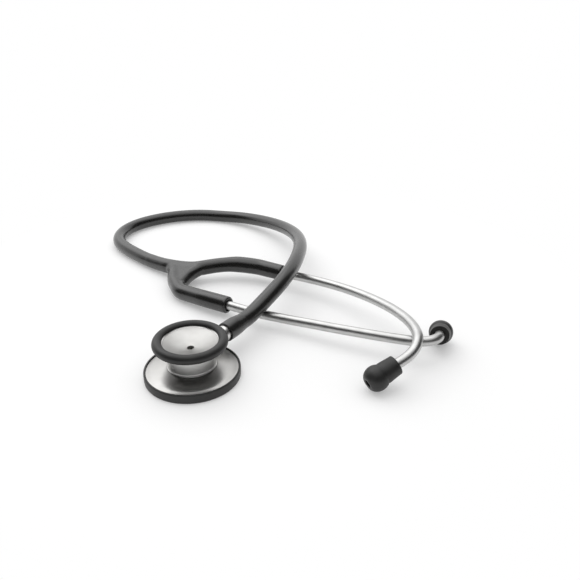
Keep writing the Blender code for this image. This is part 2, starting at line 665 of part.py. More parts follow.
def make_arm(side, material):
    """An arm with a domed root in the yoke's cup and a sleeve bored for the ear tube."""
    route = arm_route(side)
    bore = TUBE_BORE / 2
    dome = [(-ARM_RADIUS * math.sin(angle), ARM_RADIUS * math.cos(angle))
            for angle in (math.radians(62), math.radians(42), math.radians(21))]
    outer = dome + stations([(0.0, ARM_RADIUS), (route.length, ARM_RADIUS)], 0.8 * ARM_OD)
    socket = route.length - SLEEVE_GRIP - FIT
    mouth = route.length - SLEEVE_MOUTH_DEPTH
    inner = stations([(dome[0][0], bore), (socket, bore)], ARM_OD)
    inner += stations([(socket, SLEEVE_BORE), (mouth, SLEEVE_BORE)], ARM_OD)
    inner += [(mouth, SLEEVE_MOUTH / 2), (route.length, SLEEVE_MOUTH / 2)]
    return solid(side + "_arm", swept(route, outer, inner), material)


def ear_route(side):
    """An ear tube's centreline: straight in its sleeve, then along its bends into the tip."""
    points = {"left": LEFT_EAR_ROUTE, "right": RIGHT_EAR_ROUTE}[side]
    collar = np.array({"left": LEFT_TIP, "right": RIGHT_TIP}[side])
    mouth, axis = sleeve(side)
    inside = [mouth - axis * SLEEVE_GRIP * share for share in (1.0, 0.6, 0.3, 0.0, -0.2)]
    grip = tip_axis(side) * (FERRULE_LENGTH + FIT)
    held = [collar + grip * share for share in (-0.15, 0.15, 0.4, 0.7, 1.0)]
    return Route([*inside, *points, *held])


def tip_axis(side):
    axis = np.array({"left": LEFT_TIP_AXIS, "right": RIGHT_TIP_AXIS}[side])
    return axis / np.linalg.norm(axis)


def make_ear_tube(side, steel):
    route = ear_route(side)
    inner = EAR_RADIUS - EAR_TUBE_WALL
    outer_stations = stations([(0.0, EAR_RADIUS), (route.length, EAR_RADIUS)], EAR_TUBE_OD)
    inner_stations = stations([(0.0, inner), (route.length, inner)], EAR_TUBE_OD)
    return solid(side + "_ear_tube", swept(route, outer_stations, inner_stations, 10), steel)


def tip_place(side):
    """The tip's axis as local Z, from the tip's collar end."""
    return axis_place({"left": LEFT_TIP, "right": RIGHT_TIP}[side], tip_axis(side))


def make_ferrule(side, brass):
    crest = FERRULE_RADIUS
    root = FERRULE_RADIUS - FERRULE_WALL / 2
    threads = 4
    pitch = FERRULE_LENGTH / (threads + 1)
    profile = [(FERRULE_BORE, FIT), (crest, FIT), (crest, pitch)]
    for index in range(1, threads + 1):
        profile += [(root, pitch * (index + 0.35)), (crest, pitch * (index + 0.7))]
    profile += [(root, FERRULE_LENGTH), (FERRULE_BORE, FERRULE_LENGTH)]
    return solid(side + "_tip_ferrule", turned(profile, tip_place(side), 16), brass)


def make_ear_tip(side, rubber):
    socket = FERRULE_RADIUS + FIT
    collar = TIP_COLLAR / 2
    ball_radius = TIP_BALL / 2
    waist = ball_radius - (ball_radius - collar) / 2
    socket_end = FERRULE_LENGTH + 2 * FIT
    hole = TIP_HOLE / 2
    mouth = TIP_MOUTH / 2
    nose = TIP_LENGTH - TIP_BALL_AT
    profile = [(socket, 0.0), (collar - FIT / 2, 0.0), (collar, FIT), (waist, 0.6 * TIP_BALL_AT),
               (ball_radius * 0.95, 0.8 * TIP_BALL_AT), (ball_radius, TIP_BALL_AT)]
    for share in (0.4, 0.75):
        radius = mouth + (ball_radius - mouth) * math.sqrt(1.0 - share ** 2)
        profile.append((radius, TIP_BALL_AT + nose * share))
    profile += [(mouth, TIP_LENGTH), (hole, TIP_LENGTH), (hole, socket_end), (socket, socket_end)]
    return solid(side + "_ear_tip", turned(profile, tip_place(side), 24), rubber)


def make_chestpiece(steel, rubber, clear):
    swivel = pivot("chestpiece_swivel", (0.0, 0.0, STEM_Z))
    bead, spring, screw = make_detent(steel)
    pieces = [make_diaphragm(clear), make_diaphragm_ring(rubber), make_dish(steel), make_bell_body(steel),
              make_bell_ring(rubber), bead, spring, screw]
    for piece in pieces:
        hang(piece, swivel, (0.0, 0.0, STEM_Z))


def make_headset_side(side, rubber, tip_rubber, steel, brass):
    root = hinge_points()[side]
    hinge = pivot(side + "_arm_hinge", root)
    hang(make_arm(side, rubber), hinge, root)
    mouth, _ = sleeve(side)
    twist = pivot(side + "_ear_tube_twist", mouth, hinge)
    for piece in (make_ear_tube(side, steel), make_ferrule(side, brass), make_ear_tip(side, tip_rubber)):
        hang(piece, twist, mouth)


def main():
    clear_scene()
    steel = finish("turned_steel", (0.62, 0.61, 0.59), 0.28, 1.0)
    tube_steel = finish("polished_steel", (0.72, 0.72, 0.72), 0.18, 1.0)
    brass = finish("threaded_brass", (0.72, 0.55, 0.28), 0.35, 1.0)
    pvc = finish("black_pvc", (0.035, 0.034, 0.033), 0.38, 0.0)
    rubber = finish("black_rubber", (0.05, 0.05, 0.05), 0.6, 0.0)
    sheet = finish("diaphragm_sheet", (0.75, 0.76, 0.74), 0.4, 0.0)
    make_chestpiece(steel, rubber, sheet)
    make_stem(steel)
    make_o_ring(rubber)
    make_cuff(pvc)
    make_main_tube(pvc)
    make_yoke(pvc, steel)
    for side in ("left", "right"):
        make_headset_side(side, pvc, rubber, tube_steel, brass)


main()
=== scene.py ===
# %% [markdown]
# # A dual-head stethoscope lying on a white table
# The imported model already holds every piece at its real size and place. This lesson dresses it: round turned
# metal, a smooth moulded yoke, one soft tube, and finishes that answer to light as the real ones do.
# Lengths are written in millimetres, as on a drawing, and turned into metres where a mesh is made.

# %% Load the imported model
import math

import bmesh
import bpy
import numpy as np
from mathutils import Matrix, Vector


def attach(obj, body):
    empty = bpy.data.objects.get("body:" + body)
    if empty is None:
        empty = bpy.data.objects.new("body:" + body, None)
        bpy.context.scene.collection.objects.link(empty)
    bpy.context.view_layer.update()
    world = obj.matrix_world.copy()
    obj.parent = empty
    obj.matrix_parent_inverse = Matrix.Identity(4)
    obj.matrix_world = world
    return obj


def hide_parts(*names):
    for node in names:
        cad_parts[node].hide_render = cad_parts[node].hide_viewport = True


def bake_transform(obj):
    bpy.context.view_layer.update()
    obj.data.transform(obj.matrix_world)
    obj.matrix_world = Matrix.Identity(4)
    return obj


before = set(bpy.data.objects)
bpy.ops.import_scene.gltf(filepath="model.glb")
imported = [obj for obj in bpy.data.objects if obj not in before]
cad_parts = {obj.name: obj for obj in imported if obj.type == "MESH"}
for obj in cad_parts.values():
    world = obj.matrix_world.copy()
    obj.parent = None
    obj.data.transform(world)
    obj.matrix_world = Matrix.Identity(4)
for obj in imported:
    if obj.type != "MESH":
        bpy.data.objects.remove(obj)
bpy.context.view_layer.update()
MM = 0.001

# %% [markdown]
# ## Camera
# The photograph looks down at about 27 degrees. Fitting the round rims as ellipses gave the distance and the
# lens, so the camera is placed once and nothing else is bent to suit the picture.

# %% Place the camera
camera_data = bpy.data.cameras.new("photo_camera")
camera_data.sensor_width = 36.0
camera_data.lens = 37.86
camera = bpy.data.objects.new("photo_camera", camera_data)
camera.location = (0.048, -0.2498, 0.175)
camera.rotation_euler = (math.radians(62.91), 0.0, 0.0)
bpy.context.scene.collection.objects.link(camera)
bpy.context.scene.camera = camera
print("camera lens", camera_data.lens)

# %% [markdown]
# ## Paths
# A soft tube or a bent steel tube is a line with a thickness. A few points give the line its lay, and a
# natural cubic spline joins them with the curve that a springy strip would take. Bezier handles could do the
# same by hand, but the spline needs only the points. Sampling it at equal steps keeps the rings of the mesh
# evenly spaced.


# %% Smooth paths through a few points
def spline(points, per_span=32):
    """Fine points on the natural cubic spline through the given points."""
    knots = np.array(points, dtype=float)
    chords = np.linalg.norm(np.diff(knots, axis=0), axis=1)
    count = len(knots)
    system = np.eye(count)
    pull = np.zeros_like(knots)
    for i in range(1, count - 1):
        system[i, i - 1:i + 2] = chords[i - 1], 2 * (chords[i - 1] + chords[i]), chords[i]
        pull[i] = 6 * ((knots[i + 1] - knots[i]) / chords[i] - (knots[i] - knots[i - 1]) / chords[i - 1])
    bend = np.linalg.solve(system, pull)
    fine = []
    for i, chord in enumerate(chords):
        for step in np.linspace(0.0, 1.0, per_span, endpoint=False):
            rest = 1.0 - step
            curve = ((step ** 3 - step) * bend[i + 1] + (rest ** 3 - rest) * bend[i]) * chord ** 2 / 6
            fine.append(rest * knots[i] + step * knots[i + 1] + curve)
    fine.append(knots[-1])
    return np.array(fine)


def travelled(path):
    """How far along the path each of its points lies."""
    return np.concatenate(([0.0], np.cumsum(np.linalg.norm(np.diff(path, axis=0), axis=1))))


def even_path(points, spacing):
    """Points a fixed distance apart on the spline through the given points, in mm."""
    fine = spline(points)
    reach = travelled(fine)
    count = max(2, round(reach[-1] / spacing))
    stops = np.linspace(0.0, reach[-1], count + 1)
    return np.stack([np.interp(stops, reach, fine[:, axis]) for axis in range(3)], axis=1)


def path_length(path):
    """Length of the whole path."""
    return float(np.linalg.norm(np.diff(path, axis=0), axis=1).sum())


print("a straight path of 10 mm measures", path_length(even_path([(0, 0, 0), (4, 0, 0), (10, 0, 0)], 2.0)))

# %% [markdown]
# ## Shared surface effects
# Real surfaces are never perfectly even. Two small node groups hold what several finishes share: a soft
# unevenness that shifts the gloss from place to place, and a fine grain for the height of moulded or ground
# surfaces. Each material places them with its own values.


# %% Node groups for uneven gloss and fine grain
def group_socket(group, name, way, value=None):
    """Add a number to the inputs or outputs of a group."""
    made = group.interface.new_socket(name=name, in_out=way, socket_type="NodeSocketFloat")
    if value is not None:
        made.default_value = value


def uneven_group():
    """A slow noise in Object coordinates, spread between two values."""
    group = bpy.data.node_groups.new("uneven_gloss", "ShaderNodeTree")
    group_socket(group, "Scale", "INPUT", 60.0)
    group_socket(group, "Low", "INPUT", 0.3)
    group_socket(group, "High", "INPUT", 0.4)
    group_socket(group, "Value", "OUTPUT")
    nodes, links = group.nodes, group.links
    entry = nodes.new("NodeGroupInput")
    leave = nodes.new("NodeGroupOutput")
    place = nodes.new("ShaderNodeTexCoord")
    noise = nodes.new("ShaderNodeTexNoise")
    noise.inputs["Detail"].default_value = 5.0
    spread = nodes.new("ShaderNodeMapRange")
    spread.inputs["From Min"].default_value = 0.32
    spread.inputs["From Max"].default_value = 0.68
    links.new(place.outputs["Object"], noise.inputs["Vector"])
    links.new(entry.outputs["Scale"], noise.inputs["Scale"])
    links.new(noise.outputs["Fac"], spread.inputs["Value"])
    links.new(entry.outputs["Low"], spread.inputs["To Min"])
    links.new(entry.outputs["High"], spread.inputs["To Max"])
    links.new(spread.outputs["Result"], leave.inputs["Value"])
    return group


def grain_group():
    """A fine grain with a little coarser mottle, for the height of a bump."""
    group = bpy.data.node_groups.new("fine_grain", "ShaderNodeTree")
    group_socket(group, "Scale", "INPUT", 2500.0)
    group_socket(group, "Mottle", "INPUT", 0.3)
    group_socket(group, "Height", "OUTPUT")
    nodes, links = group.nodes, group.links
    entry = nodes.new("NodeGroupInput")
    leave = nodes.new("NodeGroupOutput")
    place = nodes.new("ShaderNodeTexCoord")
    fine = nodes.new("ShaderNodeTexNoise")
    fine.inputs["Detail"].default_value = 2.0
    broad = nodes.new("ShaderNodeTexNoise")
    broad.inputs["Scale"].default_value = 260.0
    weigh = nodes.new("ShaderNodeMath")
    weigh.operation = "MULTIPLY"
    total = nodes.new("ShaderNodeMath")
    total.operation = "ADD"
    links.new(place.outputs["Object"], fine.inputs["Vector"])
    links.new(place.outputs["Object"], broad.inputs["Vector"])
    links.new(entry.outputs["Scale"], fine.inputs["Scale"])
    links.new(broad.outputs["Fac"], weigh.inputs[0])
    links.new(entry.outputs["Mottle"], weigh.inputs[1])
    links.new(fine.outputs["Fac"], total.inputs[0])
    links.new(weigh.outputs["Value"], total.inputs[1])
    links.new(total.outputs["Value"], leave.inputs["Height"])
    return group


UNEVEN = uneven_group()
GRAIN = grain_group()
print("node groups:", UNEVEN.name, GRAIN.name)

# %% [markdown]
# ## Finishes
# Eight finishes cover the object: satin PVC, matt rubber, four steels (dish, bell cup, drum and ear tubes),
# brass and the pale diaphragm sheet. The steels differ because each was turned or polished in its own way.
# Colours that vary run through a ramp, and values that are the same all over sit on the shader. The PVC has
# a thin coat, because it shines softly over a duller body.


# %% A material with uneven gloss, varied colour and a grain
def finish(name, dark, light, gloss, grain, metallic=0.0):
    """gloss is (scale, low, high) and grain is (scale, mottle, strength)."""
    material = bpy.data.materials.new(name)
    material.use_nodes = True
    nodes, links = material.node_tree.nodes, material.node_tree.links
    shader = nodes["Principled BSDF"]
    shader.inputs["Metallic"].default_value = metallic
    shine = nodes.new("ShaderNodeGroup")
    shine.node_tree = UNEVEN
    for socket, value in zip(("Scale", "Low", "High"), gloss):
        shine.inputs[socket].default_value = value
    links.new(shine.outputs["Value"], shader.inputs["Roughness"])
    tone = nodes.new("ShaderNodeGroup")
    tone.node_tree = UNEVEN
    for socket, value in zip(("Scale", "Low", "High"), (gloss[0] * 1.7, 0.0, 1.0)):
        tone.inputs[socket].default_value = value
    ramp = nodes.new("ShaderNodeValToRGB")
    ramp.color_ramp.elements[0].color = (*dark, 1.0)
    ramp.color_ramp.elements[1].color = (*light, 1.0)
    links.new(tone.outputs["Value"], ramp.inputs["Fac"])
    links.new(ramp.outputs["Color"], shader.inputs["Base Color"])
    texture = nodes.new("ShaderNodeGroup")
    texture.node_tree = GRAIN
    texture.inputs["Scale"].default_value = grain[0]
    texture.inputs["Mottle"].default_value = grain[1]
    bump = nodes.new("ShaderNodeBump")
    bump.inputs["Strength"].default_value = grain[2]
    bump.inputs["Distance"].default_value = 0.00005
    links.new(texture.outputs["Height"], bump.inputs["Height"])
    links.new(bump.outputs["Normal"], shader.inputs["Normal"])
    return material


def turning_lines(material, rings, depth):
    """Add the fine rings that a lathe tool leaves round the Z axis, and the streaky glint they give."""
    nodes, links = material.node_tree.nodes, material.node_tree.links
    shader = nodes["Principled BSDF"]
    shader.inputs["Anisotropic"].default_value = 0.6
    spin = nodes.new("ShaderNodeTangent")
    spin.direction_type = "RADIAL"
    spin.axis = "Z"
    links.new(spin.outputs["Tangent"], shader.inputs["Tangent"])
    place = nodes.new("ShaderNodeTexCoord")
    wave = nodes.new("ShaderNodeTexWave")
    wave.wave_type = "RINGS"
    wave.rings_direction = "Z"
    wave.inputs["Scale"].default_value = rings
    wave.inputs["Distortion"].default_value = 0.6
    links.new(place.outputs["Object"], wave.inputs["Vector"])
    bump = nodes.new("ShaderNodeBump")
    bump.inputs["Strength"].default_value = depth
    bump.inputs["Distance"].default_value = 0.00002
    first = [node for node in nodes if node.type == "BUMP"][0]
    links.new(wave.outputs["Fac"], bump.inputs["Height"])
    links.new(first.outputs["Normal"], bump.inputs["Normal"])
    links.new(bump.outputs["Normal"], shader.inputs["Normal"])


satin_pvc = finish("satin_pvc", (0.006, 0.0057, 0.0053), (0.010, 0.0096, 0.0090), (55.0, 0.24, 0.32),
                   (2600.0, 0.2, 0.05))
matt_rubber = finish("matt_rubber", (0.010, 0.0098, 0.0095), (0.017, 0.0168, 0.0164), (90.0, 0.42, 0.52),
                     (3200.0, 0.6, 0.22))
turned_steel = finish("turned_steel", (0.40, 0.395, 0.385), (0.46, 0.455, 0.445), (70.0, 0.30, 0.36),
                      (4000.0, 0.2, 0.05), 1.0)
turning_lines(turned_steel, 900.0, 0.06)
cup_steel = finish("cup_steel", (0.42, 0.415, 0.405), (0.48, 0.475, 0.465), (70.0, 0.38, 0.46),
                   (4000.0, 0.2, 0.05), 1.0)
turning_lines(cup_steel, 900.0, 0.06)
drum_steel = finish("drum_steel", (0.70, 0.695, 0.68), (0.78, 0.775, 0.76), (70.0, 0.30, 0.36),
                    (4000.0, 0.2, 0.03), 1.0)
tube_steel = finish("tube_steel", (0.50, 0.50, 0.495), (0.57, 0.57, 0.565), (120.0, 0.34, 0.40),
                    (3000.0, 0.2, 0.04), 1.0)
thread_brass = finish("thread_brass", (0.62, 0.44, 0.20), (0.76, 0.58, 0.30), (150.0, 0.28, 0.42),
                      (3000.0, 0.3, 0.1), 1.0)
pale_sheet = finish("pale_sheet", (0.70, 0.71, 0.68), (0.78, 0.79, 0.76), (80.0, 0.25, 0.35),
                    (1800.0, 0.5, 0.15))
skin = satin_pvc.node_tree.nodes["Principled BSDF"]
skin.inputs["Coat Weight"].default_value = 0.45
skin.inputs["Coat Roughness"].default_value = 0.26
print("finishes:", [item.name for item in bpy.data.materials])

# %% [markdown]
# ## Helpers for pieces
# Every finished piece is a mesh at the origin that replaces a solid of the frame, and rides on a body when one
# is named.
# Edges sharper than a set angle, in degrees, stay crisp and all others are shaded round.


# %% Make a piece and tie it to the frame
def mesh_from(shape, name):
    """Close the seams of a shape, turn its faces outwards and keep it as a mesh."""
    bmesh.ops.remove_doubles(shape, verts=shape.verts, dist=1e-6)
    bmesh.ops.recalc_face_normals(shape, faces=shape.faces)
    mesh = bpy.data.meshes.new(name)
    shape.to_mesh(mesh)
    shape.free()
    return mesh


def add_object(name, data):
    """Put new data in the scene as an object at the origin."""
    piece = bpy.data.objects.new(name, data)
    bpy.context.scene.collection.objects.link(piece)
    return piece


def plain_mesh(piece):
    """Turn an object with live modifiers into a plain mesh object."""
    graph = bpy.context.evaluated_depsgraph_get()
    mesh = bpy.data.meshes.new_from_object(piece.evaluated_get(graph))
    piece.modifiers.clear()
    piece.data = mesh
    return piece


def dress(piece, material, body, node, edge=40.0):
    """Give a piece its finish, hide the solid it replaces, and tie it to its body when one is named."""
    piece.data.materials.clear()
    piece.data.materials.append(material)
    piece.data.shade_smooth()
    piece.data.set_sharp_from_angle(angle=math.radians(edge))
    if body:
        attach(piece, body)
    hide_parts(node)
    print(piece.name, "has", len(piece.data.polygons), "faces")


# %% [markdown]
# ## Turned outlines
# A lathe makes a round piece from a flat outline, and so does Spin. An outline is a list of corners, each
# with its radius and its height. Real turned edges are broken, never razor sharp, so a corner may carry a
# third number: how far back it is rounded. One Bevel modifier would round every corner by the same size.


# %% Round the corners of an outline and spin it
def soften(outline, steps=5):
    """Replace each corner that has a rounding by a short curve."""
    rounded = []
    count = len(outline)
    for index, corner in enumerate(outline):
        here = np.array(corner[:2], dtype=float)
        size = corner[2] if len(corner) > 2 else 0.0
        if size <= 0.0:
            rounded.append(tuple(here))
            continue
        before = np.array(outline[index - 1][:2], dtype=float) - here
        after = np.array(outline[(index + 1) % count][:2], dtype=float) - here
        start = here + before * min(0.48, size / np.linalg.norm(before))
        end = here + after * min(0.48, size / np.linalg.norm(after))
        for share in np.linspace(0.0, 1.0, steps):
            rest = 1 - share
            rounded.append(tuple(rest ** 2 * start + 2 * share * rest * here + share ** 2 * end))
    return rounded


def turned(outline, place=Matrix(), steps=128):
    """Spin an outline in mm about the Z axis and set it in its place."""
    shape = bmesh.new()
    points = soften(outline)
    corners = [shape.verts.new((radius * MM, 0.0, height * MM)) for radius, height in points]
    sides = []
    for first, second in zip(corners, corners[1:] + corners[:1]):
        if first.co.x > 1e-9 or second.co.x > 1e-9:
            sides.append(shape.edges.new((first, second)))
    bmesh.ops.spin(shape, geom=corners + sides, axis=(0, 0, 1), cent=(0, 0, 0), angle=math.tau, steps=steps,
                   use_merge=True)
    bmesh.ops.transform(shape, matrix=place, verts=shape.verts)
    return shape


def axis_place(origin, direction):
    """The place of a turned piece that stands at a point, in mm, and points along a direction."""
    turn = Vector(direction).to_track_quat("Z", "Y").to_matrix().to_4x4()
    return Matrix.Translation(Vector(origin) * MM) @ turn


# %% [markdown]
# ## The soft tube
# The main tube is one thick-walled PVC hose. It leaves the cuff in line with the stem, rises in a low hump
# over both ear tubes, and lies on the table in one wide loop back to the yoke. A bevelled curve is the
# natural way: the line is the route and the bevel is the hose.

# %% Lay the tube
STEM_Z = 12.0
STEM_HEADING = math.radians(55.0)
STEM_AXIS = Vector((math.cos(STEM_HEADING), math.sin(STEM_HEADING), 0.0))
CUFF_START = 25.3
CUFF_END = 39.2
CUFF_LAP = 0.2
TUBE_RADIUS = 4.4
TUBE_LEAD = 4.4
TUBE_SPACING = 2.0
TABLE_Z = 4.6
tube_exit = np.array(Vector((0.0, 0.0, STEM_Z)) + STEM_AXIS * (CUFF_END - CUFF_LAP))
tube_lead = tube_exit + np.array((0.5736, 0.8192, 0.04)) * TUBE_LEAD
tube_hump = [(30.4, 43.9, 13.8), (35.3, 50.9, 16.2), (40.8, 59.6, 18.6), (45.8, 70.6, 20.2),
             (49.8, 83.5, 20.8), (52.5, 97.0, 20.6), (54.2, 110.5, 19.8), (54.5, 127.3, 18.2),
             (51.8, 145.5, 16.0), (45.5, 163.5, 13.4), (36.0, 180.5, 10.6), (24.0, 195.0, 8.0),
             (10.0, 206.2, 6.0)]
tube_table = [(-6.0, 213.4), (-22.0, 216.0), (-38.0, 214.4), (-52.6, 208.8), (-65.2, 199.8), (-74.3, 187.6),
              (-77.8, 173.2), (-74.8, 158.8), (-67.0, 147.2), (-57.4, 137.1)]
tube_points = [tube_exit, tube_lead, *tube_hump, *[(x, y, TABLE_Z) for x, y in tube_table],
               (-49.8, 129.7, 4.7), (-42.8, 123.8, 4.9)]
tube_path = even_path(tube_points, TUBE_SPACING)
tube_curve = bpy.data.curves.new("soft_tube", "CURVE")
tube_curve.dimensions = "3D"
tube_curve.bevel_depth = TUBE_RADIUS * MM
tube_curve.bevel_resolution = 10
tube_curve.use_fill_caps = True
tube_line = tube_curve.splines.new("POLY")
tube_line.points.add(len(tube_path) - 1)
for point, spot in zip(tube_line.points, tube_path):
    point.co = (*(spot * MM), 1.0)
tube_line.use_smooth = True
tube_curve.materials.append(satin_pvc)
soft_tube = add_object("soft_tube", tube_curve)
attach(soft_tube, "tube_and_yoke")
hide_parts("main_tube")
print("tube length", round(path_length(tube_path), 1), "mm")

# %% [markdown]
# ## Chestpiece: rims, dish, drum and bell
# The wide side has a thin diaphragm held to a turned dish by a rubber rim. Above it stands a drum that opens
# into the bell, whose edge has a thicker rubber rim so that it does not feel cold. All of them are round
# about one axis, so each is one outline and one spin. The outlines are closed, with walls and seats inside.

# %% Diaphragm and its rubber rim
RIM_RADIUS = 23.75
RIM_TOP = 4.8
RIM_LIP = 22.75
RIM_WALL = 22.8
sheet_outline = [(0.0, 0.0), (20.8, 0.0, 0.3), (21.3, 1.1, 0.2), (22.5, 1.1, 0.1), (22.5, 1.6, 0.1),
                 (20.8, 1.6, 0.2), (20.3, 0.5, 0.2), (0.0, 0.5)]
sheet = add_object("diaphragm_sheet", mesh_from(turned(sheet_outline), "diaphragm_sheet"))
dress(sheet, pale_sheet, "chestpiece", "diaphragm")
rim_outline = [(21.6, 0.0, 0.25), (RIM_RADIUS, 0.0, 0.95), (RIM_RADIUS, RIM_TOP, 0.7),
               (RIM_LIP, RIM_TOP, 0.2), (RIM_LIP, 4.4), (RIM_WALL, 4.4), (RIM_WALL, 0.8), (21.6, 0.8, 0.15)]
rim = add_object("wide_rim", mesh_from(turned(rim_outline, steps=160), "wide_rim"))
dress(rim, matt_rubber, "chestpiece", "diaphragm_ring")

# %% Turned dish
DISH_EDGE = 22.2
DISH_EDGE_Z = 4.35
DISH_RUN = 9.6
DISH_RISE = 2.15
DISH_DOME = 0.7
SEAT_Z = 6.5
SOUND_HOLE = 1.6
dish_outline = [(20.3, 1.9, 0.2), (22.5, 1.9, 0.2), (22.5, 3.9), (22.7, 4.0), (22.7, 4.3, 0.1),
                (DISH_EDGE, DISH_EDGE_Z)]
for share in np.linspace(0.1, 0.9, 9):
    dish_outline.append((DISH_EDGE - DISH_RUN * share, DISH_EDGE_Z + DISH_RISE * share ** DISH_DOME))
dish_outline += [(12.6, SEAT_Z, 0.3), (8.3, SEAT_Z, 0.15), (8.3, 6.2), (SOUND_HOLE, 6.2, 0.2),
                 (SOUND_HOLE, 5.1, 0.2), (8.3, 4.44)]
dish = add_object("dish", mesh_from(turned(dish_outline, steps=160), "dish"))
dress(dish, turned_steel, "chestpiece", "diaphragm_dish")


# %% Drum and bell cup, bored for the stem
def melt_slivers(shape):
    """Split faces of many sides and melt away the slivers that a cut leaves."""
    for _ in range(2):
        bmesh.ops.remove_doubles(shape, verts=shape.verts, dist=0.01 * MM)
        many_sided = [face for face in shape.faces if len(face.verts) > 4]
        bmesh.ops.triangulate(shape, faces=many_sided, ngon_method="BEAUTY")
        bmesh.ops.dissolve_degenerate(shape, edges=shape.edges, dist=0.01 * MM)


def bored(piece, cutters):
    """Cut round holes in a piece, each given as (radius, start, end, place)."""
    tools = []
    for radius, start, end, place in cutters:
        bar = turned([(0.0, start), (radius, start), (radius, end), (0.0, end)], place, 64)
        tool = add_object("drill", mesh_from(bar, "drill"))
        change = piece.modifiers.new("drill", "BOOLEAN")
        change.operation = "DIFFERENCE"
        change.solver = "EXACT"
        change.object = tool
        tools.append(tool)
    plain_mesh(piece)
    for tool in tools:
        bpy.data.objects.remove(tool)
    shape = bmesh.new()
    shape.from_mesh(piece.data)
    melt_slivers(shape)
    shape.to_mesh(piece.data)
    shape.free()


stem_place = axis_place((0.0, 0.0, STEM_Z), STEM_AXIS)
DETENT_AT = 5.0
detent_axis = Vector((-STEM_AXIS.y, STEM_AXIS.x, 0.0))
detent_place = axis_place(Vector((0.0, 0.0, STEM_Z)) - STEM_AXIS * DETENT_AT, detent_axis)
DRUM_RADIUS = 11.7
FLARE_Z = 15.0
FLARE_RUN = 1.45
FLARE_RISE = 3.95
CUP_RADIUS = 13.45
CUP_FLOOR = 16.05
CUP_RISE = 3.35
STEM_BORE = 3.0
DETENT_BORE = 1.5
drum_outline = [(8.0, SEAT_Z, 0.2), (8.0, 6.8), (12.2, 6.8), (11.9, 7.05), (11.75, 7.45), (DRUM_RADIUS, 8.1),
                (DRUM_RADIUS, FLARE_Z, 0.9)]
for share in np.linspace(0.2, 0.9, 8):
    drum_outline.append((DRUM_RADIUS + FLARE_RUN * share, FLARE_Z + FLARE_RISE * share ** 1.5))
drum_outline += [(13.15, 18.95), (15.35, 18.95, 0.1), (15.35, 19.95, 0.1), (13.9, 19.9), (CUP_RADIUS, 19.4)]
for share in np.linspace(0.97, 0.2, 16):
    drum_outline.append((CUP_RADIUS * share, CUP_FLOOR + CUP_RISE * share ** 1.7))
drum_outline += [(SOUND_HOLE, CUP_FLOOR, 0.25), (SOUND_HOLE, SEAT_Z, 0.2)]
drum = add_object("drum_and_bell", mesh_from(turned(drum_outline, steps=144), "drum_and_bell"))
bored(drum, [(STEM_BORE, -8.0, 20.0, stem_place), (DETENT_BORE, 0.0, 20.0, detent_place)])
dress(drum, drum_steel, "chestpiece", "bell_body", 30.0)

# %% Satin finish inside the cup
CUP_FACES_FROM = 15.9
drum.data.materials.append(cup_steel)
for face in drum.data.polygons:
    across = math.hypot(face.center.x, face.center.y) / MM
    if face.normal.z > 0.2 and face.center.z > CUP_FACES_FROM * MM and across < CUP_RADIUS:
        face.material_index = 1
print("cup faces", sum(face.material_index for face in drum.data.polygons))

# %% Rubber rim of the bell
BELL_RIM_RADIUS = 15.95
BELL_RIM_Z = 19.45
BELL_RIM_HALF = 2.45
ring_outline = []
for angle in np.linspace(-161.0, 161.0, 44):
    turn = math.radians(angle)
    ring_outline.append((BELL_RIM_RADIUS + BELL_RIM_HALF * math.cos(turn),
                         BELL_RIM_Z + BELL_RIM_HALF * math.sin(turn)))
ring_outline += [(15.65, 20.25), (15.65, 18.65)]
ring = add_object("bell_rim", mesh_from(turned(ring_outline, steps=160), "bell_rim"))
dress(ring, matt_rubber, "chestpiece", "bell_ring")

# %% [markdown]
# ## Stem and cuff
# The stem is a hollow pin with a groove for the click ball, a groove for the seal, a shoulder against the
# drum, and barbs that hold the hose. The hose end is stretched over the barbs, which gives the flared cuff.
# Both are spun about the stem's axis, and the sound port is drilled afterwards, as in the workshop.

# %% Stem
SHANK = 2.7
PASSAGE = 1.4
FLANGE_END = 25.0
BARB_ROOT = 3.2
BARB_CREST = 3.7
BARB_STEP = 3.3
SOUND_PORT = 1.65
stem_outline = [(0.0, -7.0), (SHANK, -7.0, 0.3), (SHANK, -6.2), (2.0, -5.0, 0.3), (SHANK, -3.8),
                (SHANK, 7.3), (2.05, 7.3), (2.05, 8.7), (SHANK, 8.7), (SHANK, 12.6), (3.7, 12.6, 0.2),
                (3.7, 14.4, 0.3), (3.3, 14.7, 0.2), (3.3, 21.9, 0.2), (4.2, 22.2, 0.3),
                (4.2, FLANGE_END, 0.2)]
barb_at = FLANGE_END
for _ in range(3):
    stem_outline += [(BARB_ROOT, barb_at), (BARB_ROOT, barb_at + 1.08), (BARB_CREST, barb_at + 1.44, 0.1)]
    barb_at += BARB_STEP
stem_outline += [(BARB_ROOT, barb_at), (2.9, barb_at + 0.3, 0.1), (PASSAGE, barb_at + 0.3, 0.1),
                 (PASSAGE, -1.4), (0.0, -1.4)]
stem = add_object("hollow_stem", mesh_from(turned(stem_outline, stem_place, 72), "hollow_stem"))
bored(stem, [(SOUND_PORT, 0.0, 3.3, axis_place((0.0, 0.0, STEM_Z), (0.0, 0.0, 1.0)))])
dress(stem, drum_steel, "tube_and_yoke", "stem", 30.0)

# %% Cuff
CUFF_RADIUS = 5.15
cuff_outline = [(4.0, CUFF_START, 0.2), (CUFF_RADIUS, CUFF_START, 0.35), (CUFF_RADIUS, 33.0, 2.5),
                (4.62, 37.2, 2.0), (4.4, CUFF_END), (1.8, CUFF_END), (1.8, 35.3), (3.7, 35.3), (4.0, 31.4)]
cuff = add_object("hose_cuff", mesh_from(turned(cuff_outline, stem_place, 72), "hose_cuff"))
dress(cuff, satin_pvc, "tube_and_yoke", "tube_cuff")

